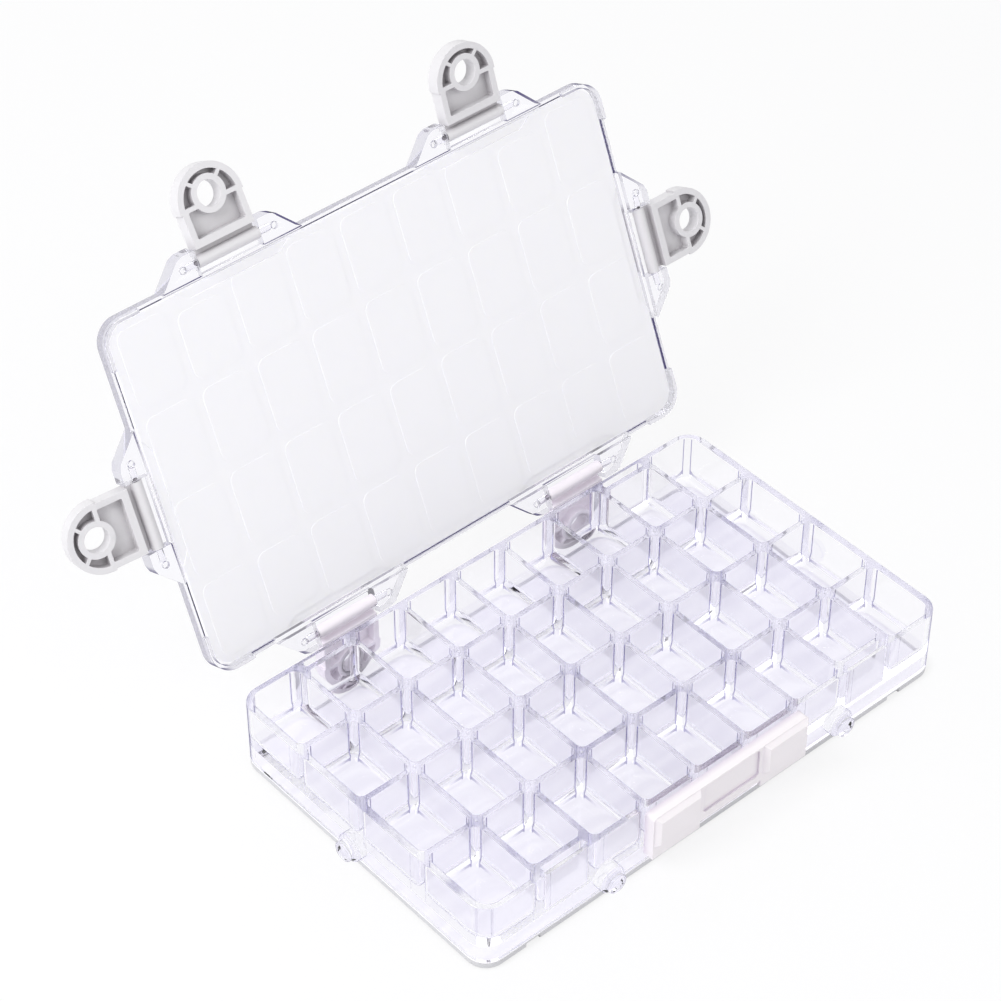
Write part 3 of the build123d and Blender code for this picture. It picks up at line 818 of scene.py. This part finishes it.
def latch_material(name, color, hollow_shade=None):
    material, shader = principled(name, color, roughness=0.38, IOR=PLASTIC_IOR)
    if hollow_shade:
        shade_hollows(material, shader, color, hollow_shade, reach=5.0)
    add_grain(material, shader, scale=420.0, strength=0.06, distance=0.0002, rough=(0.32, 0.46))
    return material


def grip_material():
    material, shader = principled(
        "frosted_grip", GRIP_COLOR, roughness=0.5, IOR=PLASTIC_IOR, Transmission_Weight=0.1
    )
    shade_hollows(material, shader, GRIP_COLOR, GRIP_HOLLOW_SHADE, reach=2.5)
    add_grain(material, shader, scale=600.0, strength=0.12, distance=0.0002, rough=(0.42, 0.6))
    return material


def base_material():
    material, shader = principled("base_plastic", BASE_COLOR, roughness=0.45, IOR=PLASTIC_IOR)
    add_grain(material, shader, scale=300.0, strength=0.08, distance=0.0002, rough=(0.38, 0.52))
    add_streaks_and_painted_shade(material, shader, BASE_COLOR, BASE_LIGHT_COLOR)
    return material


def paint(obj, material):
    obj.data.materials.clear()
    obj.data.materials.append(material)


def add_floor():
    """A white floor that shows plain white and still takes soft shadows."""
    mesh = bpy.data.meshes.new("floor")
    corners = [(x * FLOOR_HALF, y * FLOOR_HALF, FLOOR_Z) for x, y in ((-1, -1), (1, -1), (1, 1), (-1, 1))]
    mesh.from_pydata(corners, [], [(0, 1, 2, 3)])
    floor = bpy.data.objects.new("floor", mesh)
    bpy.context.scene.collection.objects.link(floor)
    material, shader = principled("studio_white", FLOOR_COLOR, roughness=0.9)
    tree = material.node_tree
    seen = any_ray(tree, "Is Camera Ray", "Is Glossy Ray", "Is Transmission Ray")
    glow = add_node(tree, "ShaderNodeEmission", Color=WHITE).outputs["Emission"]
    surface = mix_surfaces(tree, product(tree, seen, FLOOR_GLOW), shader.outputs["BSDF"], glow)
    plug(tree, tree.nodes["Material Output"].inputs["Surface"], surface)
    mesh.materials.append(material)


def add_world():
    """White where it is seen, and dimmer as a light."""
    world = bpy.data.worlds.new("studio")
    bpy.context.scene.world = world
    world.use_nodes = True
    tree = world.node_tree
    light = tree.nodes["Background"]
    light.inputs["Color"].default_value = WHITE
    light.inputs["Strength"].default_value = WORLD_LIGHT
    seen = add_node(tree, "ShaderNodeBackground", Color=WHITE)
    shown = any_ray(tree, "Is Camera Ray", "Is Glossy Ray", "Is Transmission Ray")
    surface = mix_surfaces(tree, shown, light.outputs["Background"], seen.outputs["Background"])
    plug(tree, tree.nodes["World Output"].inputs["Surface"], surface)


def add_lamps():
    for name, place, size, watts in LAMPS:
        light = bpy.data.lights.new(name, "AREA")
        light.energy = watts
        light.size = size
        lamp = bpy.data.objects.new(name, light)
        lamp.location = place
        lamp.rotation_euler = (LAMP_AIM - Vector(place)).to_track_quat("-Z", "Y").to_euler()
        bpy.context.scene.collection.objects.link(lamp)


def photo_camera():
    """The photograph's camera, fitted to the wells and the lid."""
    azimuth = radians(-41.191)
    height = radians(42.166)
    focal_pixels = 3087.578
    frame_pixels = 1001
    shift_x, shift_y, distance = 32.639, -52.46, 1065.775
    back = Vector((sin(azimuth) * cos(height), -cos(azimuth) * cos(height), sin(height)))
    right = Vector((0, 0, 1)).cross(back).normalized()
    up = back.cross(right)
    place = (right * -shift_x + up * -shift_y + back * distance + Vector((0, 0, RIM))) * MM
    data = bpy.data.cameras.new("photo_camera")
    data.sensor_width = 36.0
    data.lens = focal_pixels / frame_pixels * data.sensor_width
    data.clip_start = 0.01
    camera = bpy.data.objects.new("photo_camera", data)
    turn = Matrix((right, up, back)).transposed().to_4x4()
    camera.matrix_world = Matrix.Translation(place) @ turn
    bpy.context.scene.collection.objects.link(camera)
    bpy.context.scene.camera = camera


clear = clear_plastic(
    "clear_moulding",
    tint=(0.5, 0.49, 0.83),
    density=4.0,
    painted_edge_color=(0.26, 0.24, 0.48),
    edge_from=0.58,
    edge_to=1.0,
    lines=painted_tray_lines,
)
clear_lid = clear_plastic(
    "clear_lid_moulding",
    tint=(0.5, 0.46, 0.85),
    density=8.0,
    painted_edge_color=(0.11, 0.095, 0.22),
    edge_from=0.55,
    edge_to=0.95,
    lines=painted_lid_lines,
)

tray = build_tray()
even_normals(tray)
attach(tray, "tray")
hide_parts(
    "tray_shell",
    "well_floor",
    *[f"long_divider_{i}" for i in range(1, ROWS)],
    *[f"cross_divider_{i}" for i in range(1, COLUMNS)],
    "peg_front_left",
    "peg_front_right",
    "peg_back_left",
    "peg_back_right",
    "peg_left",
    "peg_right",
)
paint(tray, clear)

lid = dressed("lid", "lid", width=0.35)
sink(lid.data, EAR_UNDERSIDE + EAR_MARK_DEPTH, EAR_MARK_SINK)
paint(lid, clear_lid)

liner = dressed("seal_liner", "lid", width=0.3)
sink(liner.data, PAD_UNDERSIDE, PAD_FADE)
sink(liner.data, PANEL_UNDERSIDE, -LINER_GAP)
even_normals(liner)
paint(liner, silicone_material())

base = dressed("base_plate", "tray", width=0.3)
even_normals(base)
paint(base, base_material())

grip = dressed("front_grip", "tray", width=0.35)
even_normals(grip)
let_into_wall(grip.data)
paint(grip, grip_material())

loose = latch_material("latch_plastic", LATCH_COLOR, LATCH_HOLLOW_SHADE)
# A lighter copy of the latch plastic for the hinge latches, as painted light
lit_copy = latch_material("hinge_latch_lit_plastic", HINGE_LATCH_LIT_COLOR)
for node, body, axis, plastic in (
    ("latch_front_left", "latch_front_left", ACROSS, loose),
    ("latch_front_right", "latch_front_right", ACROSS, loose),
    ("latch_left", "latch_left", LID_UP, loose),
    ("latch_right", "latch_right", LID_UP, loose),
    ("hinge_latch_left", "tray", ACROSS, lit_copy),
    ("hinge_latch_right", "tray", ACROSS, lit_copy),
):
    latch = dressed(node, body, width=0.4, segments=3)
    paint(latch, plastic)
    clear_pins(latch, axis, clear)

add_floor()
add_world()
add_lamps()
photo_camera()
bpy.context.scene.view_settings.view_transform = "Standard"
